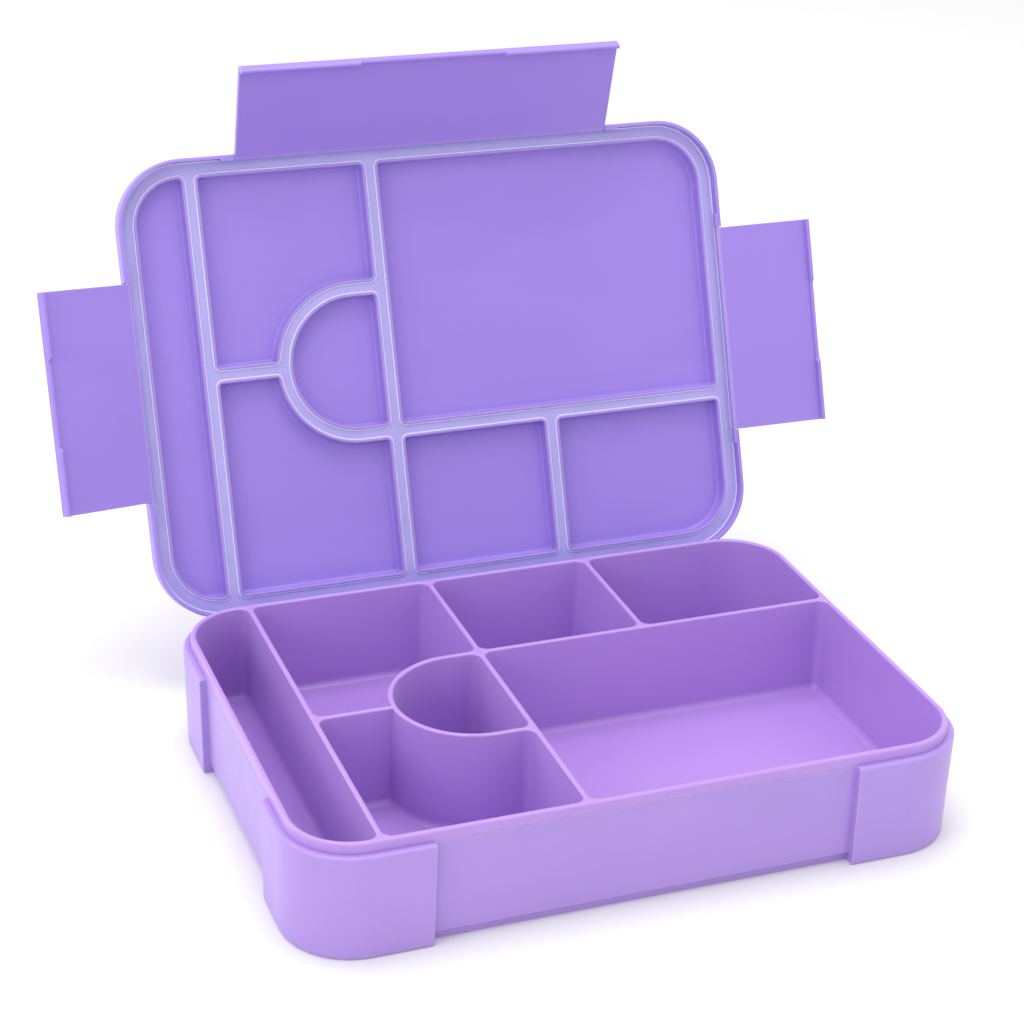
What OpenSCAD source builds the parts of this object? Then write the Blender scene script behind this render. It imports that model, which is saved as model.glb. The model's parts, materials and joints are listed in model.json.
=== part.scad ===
// Bento lunch box: outer shell, lift-out tray with seven compartments, hinged lid with a
// one-piece seal, and three fold-down latches. Millimetres, +Z up, standing on z = 0.
// The origin is the centre of the underside. The lid is drawn open, leaning on its stop.

/* [Body] */
// width over the corner bumpers, left to right
body_w = 278.4; // [240:0.2:320]
// depth over the corner bumpers, front to back
body_d = 198.4; // [170:0.2:230]
// outside radius of the corners
corner_r = 29; // [20:1:36]
// height of the outer shell and its corner bumpers
shell_h = 44.5; // [36:0.5:56]
// height the tray's rim stands above the shell
rim_rise = 4.5; // [4:0.5:8]

/* [Shell] */
// thickness of the shell's wall behind a latch
wall = 1.1; // [1:0.1:1.4]
// thickness of the shell's floor
floor_t = 1.8; // [1.4:0.1:3]
// set-back of the latch recesses from the bumpers, at the top
recess = 3; // [3:0.1:3.6]
// how much further the recess walls lean in at the bottom
recess_lean = 1; // [0:0.1:1]
// width of the front and rear recesses, at the top
front_recess_w = 172; // [130:1:200]
// width of the side recesses, at the top
side_recess_w = 94.4; // [70:0.2:120]
// how far the side recesses sit in front of the middle
side_recess_y = 1.5; // [0:0.1:4]
// height of the edge that the latch beads hook under
catch_z = 4.4; // [3.6:0.1:4.4]

/* [Tray] */
// width of the tray's rim
rim_w = 2.4; // [2.2:0.1:3]
// thickness of a divider at its top
divider_w = 2.2; // [1.6:0.1:3]
// height of the tray's underside above the table
tray_z = 4.5; // [4.5:0.1:6]
// thickness of the tray's floor
tray_floor_t = 1.2; // [1:0.1:2]
// how much each compartment wall leans in over its height
tray_lean = 0.7; // [0.2:0.1:1]
// radius of the compartments' upright corners
cell_r = 4; // [4:0.5:6]

/* [Layout] */
// centre of the left divider, from front to back
div_1 = -105.7; // [-115:0.1:-95]
// centre of the middle divider, from front to back
div_2 = -25.1; // [-35:0.1:-15]
// centre of the rear right divider
div_3 = 48.3; // [35:0.1:60]
// centre of the long cross divider
cross_1 = 27.4; // [20:0.1:35]
// centre of the short cross divider
cross_2 = -5.2; // [-10:0.1:0]
// centre-line radius of the round side of the sauce compartment
sauce_r = 32.2; // [26:0.1:34]
// centre of that round side
sauce_x = -40.3; // [-46:0.1:-38]

/* [Lid] */
// thickness of the lid's top
lid_t = 2; // [1.6:0.1:3]
// depth of the lid's cells from the rim plane
lid_cell_h = 5; // [3:0.5:7]
// thickness of the lid's skirt
skirt_t = 1.6; // [1.4:0.1:2]
// inside width of the channels that hold the seal
channel_w = 4.9; // [4.7:0.1:6]
// thickness of the ribs beside the channels
rib_t = 1.1; // [0.9:0.1:1.5]
// angle the lid opens to
lid_open = 110.5; // [95:0.5:125]

/* [Latches] */
// thickness of a latch
latch_t = 2.3; // [2:0.1:2.4]
// tilt of the front latch from the lid's plane
tilt_front = 35; // [0:1:60]
// tilt of the left latch from the lid's plane
tilt_left = 22; // [0:1:60]
// tilt of the right latch from the lid's plane
tilt_right = 4; // [0:1:60]
// radius of the latch hinge pins
pin_r = 0.7; // [0.6:0.05:0.8]
// radial clearance of a turning pin
pin_gap = 0.05; // [0.02:0.01:0.1]

/* [Rear hinge] */
// distance of the hinge axis behind the shell's bumpers
hinge_out = 2.9; // [2.8:0.1:5]
// height of the hinge axis
hinge_z = 36.1; // [30:0.1:38]
// outside radius of the knuckles
knuckle_r = 2.8; // [2.4:0.1:3.4]
// radius of the steel hinge pins
hinge_pin_r = 1.2; // [1:0.1:1.5]
// distance of each hinge from the centre
hinge_x = 50; // [35:1:65]
// width of the lid's middle knuckle
lid_knuckle_w = 20; // [14:1:28]
// width of each of the shell's knuckles
shell_knuckle_w = 8; // [6:1:12]

/* [Hidden] */
$fn = 96;

hw = body_w / 2;
hd = body_d / 2;
rim_z = shell_h + rim_rise;
fit_gap = 0.3;
bumper_lean = 0.7;
edge_r = 1.2;
// tray: distances in from the bumper outline
tray_out = recess + 0.1;
tray_in = tray_out + rim_w;
tray_wall_in = recess + wall + fit_gap;
tray_outer_lean = 0.8;
tray_foot = 5;
cell_foot = 3;
cell_flare = 0.8;
// lid, in the closed position
lid_top = rim_z + lid_cell_h + lid_t;
seal_z = rim_z + fit_gap;
seal_h = 2;
channel_top = seal_z + seal_h;
rib_z = rim_z - 0.5;
half_channel = channel_w / 2;
half_land = half_channel + rib_t;
ring_in = tray_in + 2;
seal_gap = 0.05;
seal_half = half_channel - seal_gap;
lip_w = 0.7;
lip_h = 0.5;
skirt_z = shell_h + fit_gap;
// latches
barrel_r = 1.3;
axis_in = barrel_r + 0.05;
axis_z = skirt_z + axis_in + 0.1;
boss_in = 2 * axis_in;
bead_h = 1.8;
catch_reach = 1.8;
sill_t = 1;
room_top = axis_z + barrel_r + fit_gap;
latch_drop = axis_z - catch_z + fit_gap + bead_h;
bead_tip = barrel_r + 2.8;
pin_grip = 5;
// rear hinge
hinge_y = hd + hinge_out;
side_gap = 0.4;
station_w = lid_knuckle_w + 2 * (side_gap + shell_knuckle_w);
heel_reach = hinge_out + recess - 0.3;
press_gap = 0.02;
// front, right, left and rear: turn about Z, recess width, distance of the bumper's face and
// how far the recess is shifted along its side
SIDES = [[0, front_recess_w, hd, 0], [90, side_recess_w, hw, -side_recess_y],
    [-90, side_recess_w, hw, side_recess_y]];
REAR = [180, front_recess_w, hd, 0];

// ---- swept forms: everything below the rim is a rounded rectangle with one wall profile ----

// wall profile: r out from the corner axis at the top, leaning in by lean at the bottom,
// with a round of foot at the bottom edge, crown at the top edge, or flare out at the top
module wall_profile(r, depth, h, lean, foot, crown, flare) {
    low = r - lean;
    polygon([[-depth, foot], [low, foot], [r, h - crown - flare], [r, h - crown],
        [-depth, h - crown]]);
    if (foot > 0) {
        translate([-depth, 0]) square([depth + low - foot, foot]);
        translate([low - foot, foot]) intersection() {
            circle(foot);
            translate([0, -foot]) square(foot);
        }
    }
    if (crown > 0) {
        translate([-depth, h - crown]) square([depth + r - crown, crown]);
        translate([r - crown, h - crown]) intersection() {
            circle(crown);
            square(crown);
        }
    }
    if (flare > 0)
        difference() {
            translate([r, h - flare]) square(flare);
            translate([r + flare, h - flare]) circle(flare);
        }
}

// a quarter turn of the profile at each corner, and straight runs between them
module swept(x0, x1, y0, y1, r, h, lean = 0, foot = 0, crown = 0, flare = 0) {
    mx = (x0 + x1) / 2;
    my = (y0 + y1) / 2;
    at = [[x0 + r[0], y0 + r[0]], [x1 - r[1], y0 + r[1]], [x1 - r[2], y1 - r[2]],
        [x0 + r[3], y1 - r[3]]];
    for (i = [0:3])
        translate([at[i].x, at[i].y, 0]) rotate([0, 0, 180 + 90 * i])
            rotate_extrude(angle = 90) wall_profile(r[i], 0, h, lean, foot, crown, flare);
    straight(at[0].x, at[1].x, y0, my, 180, h, lean, foot, crown, flare);
    straight(at[3].x, at[2].x, y1, my, 0, h, lean, foot, crown, flare);
    straight(at[0].y, at[3].y, x0, mx, 90, h, lean, foot, crown, flare);
    straight(at[1].y, at[2].y, x1, mx, -90, h, lean, foot, crown, flare);
}

// one straight run from a to b, its wall at face and its inner end at mid
module straight(a, b, face, mid, turn, h, lean, foot, crown, flare) {
    depth = abs(face - mid);
    across = abs(turn) == 90;
    c = (a + b) / 2;
    if (b - a > 0.01)
        translate(across ? [mid, c, 0] : [c, mid, 0]) rotate([0, 0, turn])
            rotate([90, 0, 90]) translate([0, 0, -(b - a) / 2]) linear_extrude(b - a)
                wall_profile(depth, 0, h, lean, foot, crown, flare);
}

// a rounded rectangle set in from the bumper outline
module outline_block(inset, h, lean = 0, foot = 0, crown = 0) {
    r = corner_r - inset;
    swept(-hw + inset, hw - inset, -hd + inset, hd - inset, [r, r, r, r], h, lean, foot, crown);
}

// the seven cells: edge is the inset of the outer walls, half the half-thickness between cells
module cells(edge, half, h, lean, foot, flare, r) {
    big = corner_r - edge;
    left = -hw + edge;
    right = hw - edge;
    front = -hd + edge;
    back = hd - edge;
    d_in = sauce_r - half;
    d_y = cross_1 - sauce_r;
    // long slot at the left, its round corners limited by its width
    slot = min(big, div_1 - half - left - r - 0.1);
    swept(left, div_1 - half, front, back, [slot, r, r, slot], h, lean, foot, 0, flare);
    // rear middle, rear right and large front right
    swept(div_2 + half, div_3 - half, cross_1 + half, back, [r, r, r, r], h, lean, foot, 0, flare);
    swept(div_3 + half, right, cross_1 + half, back, [r, r, big, r], h, lean, foot, 0, flare);
    swept(div_2 + half, right, front, cross_1 - half, [r, big, r, r], h, lean, foot, 0, flare);
    // round-sided sauce cell
    swept(sauce_x - d_in, div_2 - half, d_y - d_in, d_y + d_in, [d_in, r, r, d_in], h, lean,
        foot, 0, flare);
    // rear left and front left, each giving way to the round wall
    difference() {
        union() {
            swept(div_1 + half, div_2 - half, cross_1 + half, back, [r, r, r, r], h, lean, foot,
                0, flare);
            swept(div_1 + half, sauce_x, cross_2 + half, back, [r, r, r, r], h, lean, foot, 0,
                flare);
            swept(div_1 + half, div_2 - half, front, d_y - sauce_r - half, [r, r, r, r], h,
                lean, foot, 0, flare);
            swept(div_1 + half, sauce_x, front, cross_2 - half, [r, r, r, r], h, lean, foot, 0,
                flare);
        }
        round_wall(sauce_r + half, d_y, h, lean, foot, flare);
    }
}

// outside of the sauce compartment's round wall, leaning out at the bottom
module round_wall(r, y, h, lean, foot, crown) {
    translate([sauce_x, y, 0]) rotate([0, 0, 90]) rotate_extrude(angle = 180) {
        polygon([[0, -1], [r + lean, -1], [r + lean, 0], [r, h - crown], [0, h - crown]]);
        difference() {
            translate([r + lean - 0.1, 0]) square([foot + 0.1, foot]);
            translate([r + lean + foot, foot]) circle(foot);
        }
        if (crown > 0) {
            translate([0, h - crown]) square([r - crown, crown]);
            translate([r - crown, h - crown]) intersection() {
                circle(crown);
                square(crown);
            }
        }
    }
}

// ---- shell ----

// turns what is drawn for the front, facing -Y, to another side
module on_side(side) {
    rotate([0, 0, side[0]]) translate([side[3], 0, 0]) children();
}

module outer_shell() {
    color("#b79ae6") {
        difference() {
            union() {
                difference() {
                    outline_block(0, shell_h, bumper_lean, edge_r, edge_r);
                    translate([0, 0, floor_t])
                        outline_block(recess + wall, shell_h, tray_outer_lean, tray_foot);
                }
                for (s = SIDES) on_side(s) sill(s[1], s[2]);
            }
            for (s = SIDES) on_side(s) {
                recess_cut(s[1], s[2]);
                catch_cut(s[1], s[2]);
            }
            on_side(REAR) recess_cut(REAR[1], REAR[2]);
        }
        for (s = [-1, 1], k = [-1, 1])
            translate([s * hinge_x + k * (lid_knuckle_w / 2 + side_gap + shell_knuckle_w / 2), 0, 0])
                shell_knuckle();
    }
}

// the latch recess: its wall leans in and its ends open out towards the bottom
module recess_cut(w, face) {
    intersection() {
        rotate([90, 0, 90]) translate([0, 0, -w / 2 - 5]) linear_extrude(w + 10)
            polygon([[-face - 5, -1], [-face + recess + recess_lean, -1],
                [-face + recess, shell_h], [-face + recess, shell_h + 1], [-face - 5, shell_h + 1]]);
        rotate([90, 0, 0]) linear_extrude(face + 10)
            polygon([[-w / 2 - 0.6, -1], [w / 2 + 0.6, -1], [w / 2, shell_h + 1],
                [-w / 2, shell_h + 1]]);
    }
}

// step inside the wall's foot, hollowed from outside so that a latch's bead can hook under
module sill(w, face) {
    translate([-w / 2 - 1.4, -face + recess, 0])
        cube([w + 2.8, recess_lean + catch_reach + sill_t, catch_z + sill_t]);
}

module catch_cut(w, face) {
    translate([-w / 2 - 0.6, -face - 1, -1])
        cube([w + 1.2, 1 + recess + recess_lean + catch_reach, 1 + catch_z]);
}

module shell_knuckle() {
    difference() {
        union() {
            translate([0, hinge_y, hinge_z]) rotate([0, 90, 0])
                cylinder(r = knuckle_r, h = shell_knuckle_w, center = true);
            rotate([90, 0, 90]) translate([0, 0, -shell_knuckle_w / 2])
                linear_extrude(shell_knuckle_w)
                    polygon([[hd - recess - 0.8, hinge_z + knuckle_r],
                        [hinge_y, hinge_z + knuckle_r], [hinge_y, hinge_z - knuckle_r],
                        [hd - recess - 0.8, hinge_z - knuckle_r - 5]]);
        }
        translate([0, hinge_y, hinge_z]) rotate([0, 90, 0])
            cylinder(r = hinge_pin_r + press_gap, h = shell_knuckle_w + 1, center = true);
    }
}

// ---- tray ----

module compartment_tray() {
    color("#b79ae6")
        difference() {
            union() {
                translate([0, 0, shell_h]) outline_block(tray_out, rim_rise, 0, 0, 1);
                translate([0, 0, tray_z])
                    outline_block(tray_wall_in, shell_h - tray_z, tray_outer_lean, tray_foot);
            }
            translate([0, 0, tray_z + tray_floor_t])
                cells(tray_in, divider_w / 2, rim_z - tray_z - tray_floor_t + 0.001, tray_lean,
                    cell_foot, cell_flare, cell_r);
        }
}

// ---- lid, drawn closed and then swung open ----

module swing_lid() {
    translate([0, hinge_y, hinge_z]) rotate([-lid_open, 0, 0])
        translate([0, -hinge_y, -hinge_z]) children();
}

module lid() {
    color("#a284de") swing_lid() {
        difference() {
            union() {
                difference() {
                    translate([0, 0, skirt_z]) outline_block(0, lid_top - skirt_z, 0, 0.8, 3);
                    translate([0, 0, skirt_z - 1])
                        outline_block(skirt_t, channel_top - skirt_z + 1);
                }
                translate([0, 0, rib_z])
                    outline_block(ring_in, channel_top - rib_z + 0.01);
                for (s = SIDES) on_side(s) pin_bosses(s[1], s[2]);
            }
            // channels for the seal's strips, then the cells between them
            translate([0, 0, rib_z - 1]) linear_extrude(channel_top - rib_z + 1)
                strips(half_channel);
            translate([0, 0, lid_top - lid_t]) mirror([0, 0, 1])
                cells(ring_in + rib_t, half_land, lid_cell_h + 0.501, 0.4, 1, 0.4, 1.5);
            for (s = SIDES) on_side(s) latch_room(s[1], s[2]);
        }
        for (s = [-1, 1]) translate([s * hinge_x, 0, 0]) lid_knuckle();
    }
}

// thicker skirt beside a latch, where its pin is held
module pin_bosses(w, face) {
    for (s = [-1, 1])
        translate([s * (w + pin_grip + 1) / 2, -face + (1 + boss_in) / 2, (skirt_z + room_top) / 2])
            cube([pin_grip + 1, boss_in - 1, room_top - skirt_z], center = true);
}

// clearance for a latch's barrel and plate, with the pin's holes beyond its ends
module latch_room(w, face) {
    translate([-w / 2, -face - 1, skirt_z - 1])
        cube([w, boss_in + 2, room_top - skirt_z + 1]);
    translate([0, -face + axis_in, axis_z]) rotate([0, 90, 0])
        cylinder(r = pin_r + press_gap, h = w + 2 * pin_grip, center = true);
}

// arm down to the hinge axis; its heel meets the shell's wall when the lid is open
module lid_knuckle() {
    difference() {
        union() {
            translate([0, hinge_y, hinge_z]) rotate([0, 90, 0])
                cylinder(r = knuckle_r, h = lid_knuckle_w, center = true);
            rotate([90, 0, 90]) translate([0, 0, -lid_knuckle_w / 2])
                linear_extrude(lid_knuckle_w)
                    polygon([[hinge_y - 2.6, hinge_z], [hinge_y, hinge_z - 1],
                        [hinge_y + 2.6, hinge_z], [hinge_y + 1.4, rim_z - 1],
                        [hd - 0.5, rim_z + 2.6], [hd - 0.5, skirt_z + 1.6],
                        [hinge_y - 2.2, skirt_z + 0.6]]);
            translate([0, hinge_y, hinge_z]) rotate([lid_open, 0, 0])
                translate([-lid_knuckle_w / 2, -heel_reach, -1.4])
                    cube([lid_knuckle_w, heel_reach, 2.8]);
        }
        translate([0, hinge_y, hinge_z]) rotate([0, 90, 0])
            cylinder(r = hinge_pin_r + pin_gap, h = lid_knuckle_w + 1, center = true);
    }
}

// plan of the seal's strips along every divider, half wide each side of the centre-line,
// running 3 mm into the ring around the edge
module strips(half) {
    slim = half_channel - half;
    inset = ring_in - slim;
    r = rib_t + 1.5 + slim;
    x_in = hw - inset;
    y_in = hd - inset;
    d_y = cross_1 - sauce_r;
    d_low = d_y - sauce_r;
    d_left = sauce_x - sauce_r - half;
    for (x = [div_1, div_2])
        translate([x - half, -y_in - 3]) square([2 * half, 2 * (y_in + 3)]);
    translate([div_3 - half, cross_1]) square([2 * half, y_in + 3 - cross_1]);
    translate([div_2, cross_1 - half]) square([x_in + 3 - div_2, 2 * half]);
    translate([div_1, cross_2 - half]) square([d_left + half - div_1, 2 * half]);
    for (y = [cross_1, d_low])
        translate([sauce_x, y - half]) square([div_2 - sauce_x, 2 * half]);
    difference() {
        translate([sauce_x, d_y]) circle(sauce_r + half);
        translate([sauce_x, d_y]) circle(sauce_r - half);
        translate([sauce_x, d_low - half - 1]) square(2 * (sauce_r + half + 1));
    }
    // rounds where strips meet
    for (c = [[div_1 + half, cross_2, 1], [d_left + 0.4, cross_2, -1], [div_2 + half, cross_1, 1],
        [div_2 - half, cross_1, -1], [div_2 - half, d_low, -1], [x_in, cross_1, -1]])
        for (k = [-1, 1]) inner_round(c[0], c[1] + k * half, c[2], k, r);
    for (x = [div_1, div_2], k = [-1, 1], m = [-1, 1])
        inner_round(x + k * half, m * y_in, k, -m, r);
    for (k = [-1, 1]) {
        inner_round(div_3 + k * half, y_in, k, -1, r);
        inner_round(div_3 + k * half, cross_1 + half, k, 1, r);
    }
}

// fills the inside corner at x, y towards sx, sy with a round of radius r
module inner_round(x, y, sx, sy, r) {
    lap = 0.8;
    difference() {
        translate([x + (sx < 0 ? -r : -lap), y + (sy < 0 ? -r : -lap)]) square(r + lap);
        translate([x + sx * r, y + sy * r]) circle(r);
    }
}

// ---- seal ----

module outline2d(inset) {
    square([body_w - 2 * inset, body_d - 2 * corner_r], center = true);
    square([body_w - 2 * corner_r, body_d - 2 * inset], center = true);
    for (x = [-1, 1], y = [-1, 1])
        translate([x * (hw - corner_r), y * (hd - corner_r)]) circle(corner_r - inset);
}

// the whole seal in plan, with every edge moved in by slim
module seal2d(slim) {
    difference() {
        outline2d(skirt_t + seal_gap + slim);
        outline2d(ring_in - seal_gap - slim);
    }
    strips(seal_half - slim);
}

// flat strip with a raised lip along each edge; the tray's walls close between the lips
module lid_seal() {
    color("#c9c6ee") swing_lid() {
        translate([0, 0, seal_z]) linear_extrude(channel_top - seal_z) seal2d(0);
        for (k = [0, 1])
            translate([0, 0, seal_z - lip_h + 0.15 * (1 - k)])
                linear_extrude(lip_h + 0.01 - 0.15 * (1 - k)) difference() {
                    seal2d(0.1 * k);
                    seal2d(lip_w - 0.15 * k);
                }
    }
}

// ---- latches: hanging shut from a hinge axis along X, outward side towards -Y ----

module latch(w) {
    inner = barrel_r;
    outer = barrel_r - latch_t;
    difference() {
        union() {
            along_x(w) {
                circle(barrel_r);
                translate([outer, 1 - latch_drop]) square([latch_t, latch_drop - 1]);
                translate([outer + 1, -latch_drop]) square([latch_t - 1, 2]);
                translate([outer + 1, 1 - latch_drop]) circle(1);
            }
            along_x(w) bead2d(inner, inner + 1.4);
            intersection() {
                along_x(w) bead2d(inner, bead_tip);
                translate([0, 0, -latch_drop - 1]) linear_extrude(bead_h + 2)
                    for (s = [-1, 1]) scale([s, 1])
                        polygon([[w / 2, 0], [w / 2, 6], [0.18 * w + 4.7, 6],
                            [0.18 * w, inner], [0.18 * w, 0]]);
            }
        }
        rotate([0, 90, 0]) cylinder(r = pin_r + pin_gap, h = w + 1, center = true);
    }
}

// bead profile from the plate's inner face out to a round nose
module bead2d(from, tip) {
    translate([from - 0.3, -latch_drop]) square([tip - from + 0.3 - bead_h / 2, bead_h]);
    translate([tip - bead_h / 2, bead_h / 2 - latch_drop]) circle(bead_h / 2);
}

// extrudes a (Y, Z) outline along X, centred
module along_x(w) {
    rotate([90, 0, 90]) translate([0, 0, -w / 2]) linear_extrude(w) children();
}

// carries a latch or its pin from the X axis to its place on the open lid
module on_lid(side) {
    swing_lid() on_side(side) translate([0, -side[2] + axis_in, axis_z]) children();
}

module front_latch() {
    color("#a284de") on_lid(SIDES[0]) rotate([tilt_front - 90, 0, 0])
        latch(front_recess_w - 0.8);
}

module right_latch() {
    color("#a284de") on_lid(SIDES[1]) rotate([tilt_right - 90, 0, 0])
        latch(side_recess_w - 0.8);
}

module left_latch() {
    color("#a284de") on_lid(SIDES[2]) rotate([tilt_left - 90, 0, 0])
        latch(side_recess_w - 0.8);
}

module latch_pin(w) {
    color("#c4c6ca") rotate([0, 90, 0])
        cylinder(r = pin_r, h = w + 2 * pin_grip - 0.2, center = true);
}

module front_latch_pin() {
    on_lid(SIDES[0]) latch_pin(SIDES[0][1]);
}

module right_latch_pin() {
    on_lid(SIDES[1]) latch_pin(SIDES[1][1]);
}

module left_latch_pin() {
    on_lid(SIDES[2]) latch_pin(SIDES[2][1]);
}

module hinge_pin(x) {
    color("#c4c6ca") translate([x, hinge_y, hinge_z]) rotate([0, 90, 0])
        cylinder(r = hinge_pin_r, h = station_w, center = true);
}

module left_hinge_pin() {
    hinge_pin(-hinge_x);
}

module right_hinge_pin() {
    hinge_pin(hinge_x);
}

outer_shell();
compartment_tray();
lid();
lid_seal();
front_latch();
left_latch();
right_latch();
front_latch_pin();
left_latch_pin();
right_latch_pin();
left_hinge_pin();
right_hinge_pin();
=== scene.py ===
"""Looks of the bento lunch box: plastic, silicone and steel finishes, a pale studio and its camera.

Every shape comes from the CAD frame. Distances are in metres, in the CAD frame.
"""

import json
import math

import bpy
from mathutils import Matrix, Vector

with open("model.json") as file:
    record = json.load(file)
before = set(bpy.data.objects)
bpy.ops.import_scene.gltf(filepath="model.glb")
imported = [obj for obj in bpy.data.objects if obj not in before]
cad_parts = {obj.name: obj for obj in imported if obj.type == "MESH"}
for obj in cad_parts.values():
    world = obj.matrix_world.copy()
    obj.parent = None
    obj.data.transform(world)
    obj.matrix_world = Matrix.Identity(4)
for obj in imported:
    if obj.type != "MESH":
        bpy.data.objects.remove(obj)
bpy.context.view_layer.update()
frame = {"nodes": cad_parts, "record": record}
scene = bpy.context.scene

# part of the noise's range that holds nearly all of its values
NOISE_SPAN = (0.2, 0.8)

# radius that each material rounds its edges by
PLASTIC_ROUND = 0.0007
SILICONE_ROUND = 0.0002

# share of white painted on the plastic's outer edges as a painted highlight
EDGE_HIGHLIGHT_WHITE = 0.3

# distances below the top of the seal's lips where the flat strip's tint ends and the lips' painted
# highlight is full
LIP_HIGHLIGHT_FADE = (0.0005, 0.0002)

LILAC = (0.398, 0.257, 0.68)
ORCHID = (0.445, 0.265, 0.69)
VIOLET = (0.312, 0.205, 0.665)
CLOUDY = (0.42, 0.38, 0.74)
# pale tint painted on the seal's lips as a painted highlight
LIP_HIGHLIGHT_PALE = (0.72, 0.68, 0.95)
STEEL_DARK = (0.50, 0.51, 0.53)
STEEL_LIGHT = (0.68, 0.69, 0.71)
TABLE_DARK = (0.82, 0.82, 0.82)
TABLE_LIGHT = (0.84, 0.84, 0.84)


# ---- node helpers ----


class Graph:
    """A material's node tree with short calls for the nodes used here."""

    def __init__(self, name):
        self.material = bpy.data.materials.new(name)
        self.material.use_nodes = True
        self.tree = self.material.node_tree
        self.shader = self.tree.nodes["Principled BSDF"]
        self.place = self.add("ShaderNodeTexCoord").outputs["Object"]

    def add(self, kind, **settings):
        node = self.tree.nodes.new(kind)
        for key, value in settings.items():
            setattr(node, key, value)
        return node

    def link(self, source, target):
        self.tree.links.new(source, target)

    def drive(self, name, source):
        """Links a node's output to the shader's input of that name."""
        self.link(source, self.shader.inputs[name])

    def fix(self, constants):
        """Sets shader inputs that are the same over the whole surface."""
        for name, value in constants.items():
            self.shader.inputs[name].default_value = value

    def noise(self, scale, detail=2.0, stretch=(1, 1, 1)):
        """Noise from 0 to 1 with scale features a metre."""
        mapping = self.add("ShaderNodeMapping")
        mapping.inputs["Scale"].default_value = stretch
        self.link(self.place, mapping.inputs["Vector"])
        node = self.add("ShaderNodeTexNoise")
        node.inputs["Scale"].default_value = scale
        node.inputs["Detail"].default_value = detail
        self.link(mapping.outputs["Vector"], node.inputs["Vector"])
        return node.outputs["Fac"]

    def ramp(self, value, start, end, low=0, high=1):
        """Eases from low to high as the value goes from start to end."""
        node = self.add("ShaderNodeMapRange", interpolation_type="SMOOTHSTEP")
        limits = {"From Min": start, "From Max": end, "To Min": low, "To Max": high}
        for name, limit in limits.items():
            node.inputs[name].default_value = limit
        self.link(value, node.inputs["Value"])
        return node.outputs["Result"]

    def spread(self, noise, low=0, high=1):
        """Noise spread over low to high."""
        return self.ramp(noise, *NOISE_SPAN, low, high)

    def level(self, facing, start, end):
        """0 to 1 from distance start to distance end along a direction."""
        along = self.add("ShaderNodeVectorMath", operation="DOT_PRODUCT")
        along.inputs[1].default_value = facing
        self.link(self.place, along.inputs[0])
        return self.ramp(along.outputs["Value"], start, end)

    def mix(self, share, first, second):
        """Colour from first to second, each a colour or a node's output."""
        node = self.add("ShaderNodeMix", data_type="RGBA")
        for name, colour in {"A": first, "B": second}.items():
            if isinstance(colour, tuple):
                node.inputs[name].default_value = (*colour, 1)
            else:
                self.link(colour, node.inputs[name])
        self.link(share, node.inputs["Factor"])
        return node.outputs["Result"]

    def outer_edges(self, reach):
        """1 at an outer edge, falling to 0 at distance reach from it."""
        node = self.add("ShaderNodeAmbientOcclusion", inside=True, only_local=True, samples=8)
        node.inputs["Distance"].default_value = reach
        turned = self.add("ShaderNodeMath", operation="SUBTRACT", use_clamp=True)
        turned.inputs[0].default_value = 1.0
        self.link(node.outputs["AO"], turned.inputs[1])
        return turned.outputs["Value"]

    def soft_edges(self, radius):
        """Normals that round every sharp edge by radius."""
        node = self.add("ShaderNodeBevel", samples=6)
        node.inputs["Radius"].default_value = radius
        return node.outputs["Normal"]

    def bump(self, height, distance, normal=None):
        node = self.add("ShaderNodeBump")
        node.inputs["Distance"].default_value = distance
        self.link(height, node.inputs["Height"])
        if normal:
            self.link(normal, node.inputs["Normal"])
        return node.outputs["Normal"]


def shade(colour, factor):
    return tuple(min(1.0, c * factor) for c in colour)


def whiten(colour, share):
    return tuple(c + (1.0 - c) * share for c in colour)


# ---- finishes ----


def moulded_plastic(name, colour, roughness, grain):
    """Polypropylene: faint mottling, outer edges painted paler as a painted highlight, uneven sheen
    and grain of the given depth.
    """
    g = Graph(name)
    mottle = g.spread(g.noise(18, 4, stretch=(1, 1, 2.5)))
    body = g.mix(mottle, shade(colour, 0.975), shade(colour, 1.02))
    # painted highlight: the outer edges are mixed towards white
    edge_highlight_mask = g.outer_edges(PLASTIC_ROUND)
    g.drive("Base Color", g.mix(edge_highlight_mask, body, whiten(colour, EDGE_HIGHLIGHT_WHITE)))
    g.drive("Roughness", g.spread(g.noise(45, 3), roughness - 0.04, roughness + 0.05))
    waves = g.bump(g.noise(28, 1), 0.0002, g.soft_edges(PLASTIC_ROUND))
    g.drive("Normal", g.bump(g.noise(2600, 3), grain, waves))
    g.fix({
        "IOR": 1.5,
        "Sheen Weight": 0.12,
        "Sheen Roughness": 0.4,
        "Subsurface Weight": 0.12,
        "Subsurface Radius": (1.0, 0.7, 1.2),
        "Subsurface Scale": 0.002,
    })
    return g.material


def silicone(name, flat_colour, lip_highlight_colour, facing, lip_top):
    """Soft rubber with a slight bloom; the tops of its lips are painted paler than the flat strip
    as a painted highlight.
    """
    g = Graph(name)
    bloom = g.spread(g.noise(60, 4))
    flat = g.mix(bloom, shade(flat_colour, 0.96), shade(flat_colour, 1.03))
    # painted highlight: the lips' tops, measured along the open lid's facing, are painted paler
    lip_highlight_mask = g.level(facing, lip_top - LIP_HIGHLIGHT_FADE[0], lip_top - LIP_HIGHLIGHT_FADE[1])
    g.drive("Base Color", g.mix(lip_highlight_mask, flat, lip_highlight_colour))
    g.drive("Roughness", g.spread(g.noise(220, 2), 0.30, 0.42))
    g.drive("Normal", g.bump(g.noise(1500, 2), 0.000015, g.soft_edges(SILICONE_ROUND)))
    g.fix({
        "IOR": 1.43,
        "Subsurface Weight": 0.4,
        "Subsurface Radius": (1.0, 0.95, 1.1),
        "Subsurface Scale": 0.0008,
    })
    return g.material


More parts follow.
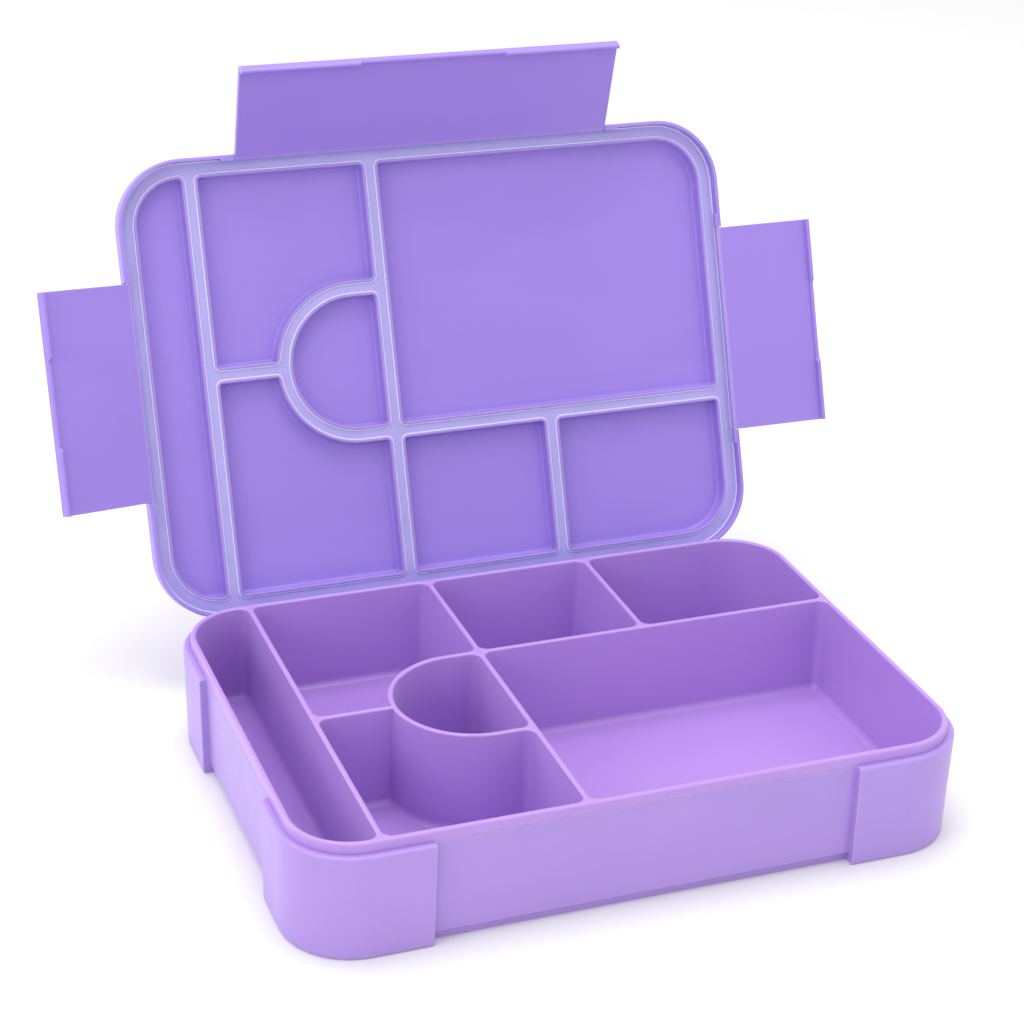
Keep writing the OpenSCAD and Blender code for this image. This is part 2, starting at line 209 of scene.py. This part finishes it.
def drawn_steel(name):
    """Stainless wire, with fine scratches along its length."""
    g = Graph(name)
    scratches = g.noise(3000, 4, stretch=(0.04, 1, 1))
    g.drive("Base Color", g.mix(g.spread(scratches), STEEL_DARK, STEEL_LIGHT))
    g.drive("Roughness", g.spread(scratches, 0.29, 0.42))
    g.drive("Normal", g.bump(scratches, 0.00001))
    g.fix({"Metallic": 1.0})
    return g.material


def seal_face():
    """Direction the open lid's seal faces, and how far its lips reach along it."""
    joints = {joint["name"]: joint for joint in frame["record"]["behaviour"]["joints"]}
    opened = math.radians(joints["lid_hinge"]["range_deg"][1])
    facing = Vector((0, -math.sin(opened), -math.cos(opened)))
    corners = frame["nodes"]["lid_seal"].data.vertices
    return facing, max(facing.dot(corner.co) for corner in corners)


def finish_cad_nodes():
    finishes = {
        "shell_plastic": moulded_plastic("shell_plastic", LILAC, 0.36, 0.000012),
        "tray_plastic": moulded_plastic("tray_plastic", ORCHID, 0.34, 0.000006),
        "lid_plastic": moulded_plastic("lid_plastic", VIOLET, 0.40, 0.000020),
        "latch_plastic": moulded_plastic("latch_plastic", VIOLET, 0.38, 0.000014),
        "seal_silicone": silicone("seal_silicone", CLOUDY, LIP_HIGHLIGHT_PALE, *seal_face()),
        "pin_steel": drawn_steel("pin_steel"),
    }
    for part in frame["record"]["subparts"]:
        piece = frame["nodes"][part["node"]]
        piece.data.materials.clear()
        piece.data.materials.append(finishes[part["material_slot"]])


# ---- studio ----


def make_floor(half=6.0):
    """Pale table top, flat and far wider than the view."""
    corners = [(-half, -half, 0), (half, -half, 0), (half, half, 0), (-half, half, 0)]
    mesh = bpy.data.meshes.new("floor")
    mesh.from_pydata(corners, [], [(0, 1, 2, 3)])
    floor = bpy.data.objects.new("floor", mesh)
    scene.collection.objects.link(floor)
    g = Graph("pale_table")
    g.drive("Base Color", g.mix(g.spread(g.noise(2, 2)), TABLE_DARK, TABLE_LIGHT))
    g.fix({"Roughness": 0.8, "Specular IOR Level": 0.2})
    mesh.materials.append(g.material)


def make_light(name, place, aim, size, power):
    """White disc lamp at a place, turned to its aim; power in watts."""
    data = bpy.data.lights.new(name, "AREA")
    data.shape = "DISK"
    data.size = size
    data.energy = power
    light = bpy.data.objects.new(name, data)
    light.location = place
    light.rotation_euler = (Vector(aim) - Vector(place)).to_track_quat("-Z", "Y").to_euler()
    scene.collection.objects.link(light)


def make_world():
    """Even white light from all around."""
    world = bpy.data.worlds.new("studio")
    world.use_nodes = True
    background = world.node_tree.nodes["Background"]
    background.inputs["Color"].default_value = (1, 1, 1, 1)
    background.inputs["Strength"].default_value = 1.0
    scene.world = world


def make_camera(place, yaw, pitch, roll, lens):
    """Camera with its yaw from +Y towards +X, pitch down, and roll, in degrees; lens in mm."""
    yaw, pitch, roll = (math.radians(angle) for angle in (yaw, pitch, roll))
    ahead = Vector((
        math.sin(yaw) * math.cos(pitch),
        math.cos(yaw) * math.cos(pitch),
        -math.sin(pitch),
    ))
    level = Vector((math.cos(yaw), -math.sin(yaw), 0))
    upward = level.cross(ahead)
    x_axis = math.cos(roll) * level + math.sin(roll) * upward
    y_axis = math.cos(roll) * upward - math.sin(roll) * level
    data = bpy.data.cameras.new("camera")
    data.sensor_width = 36
    data.lens = lens
    camera = bpy.data.objects.new("camera", data)
    turn = Matrix((x_axis, y_axis, -ahead)).transposed().to_4x4()
    camera.matrix_world = Matrix.Translation(place) @ turn
    scene.collection.objects.link(camera)
    scene.camera = camera


finish_cad_nodes()
make_floor()
make_world()
make_light("overhead", (0, 0.1, 1.5), (0, 0, 0), 0.9, 10)
make_light("key", (-1.4, -0.5, 0.9), (0, 0, 0.08), 0.8, 5)
make_light("back", (-1.0, 1.1, 0.8), (-0.15, 0.1, 0), 1.0, 4)
make_camera((-0.32831, -0.79391, 0.52551), yaw=21.034, pitch=25.233, roll=1.673, lens=84.53)
scene.view_settings.view_transform = "Standard"
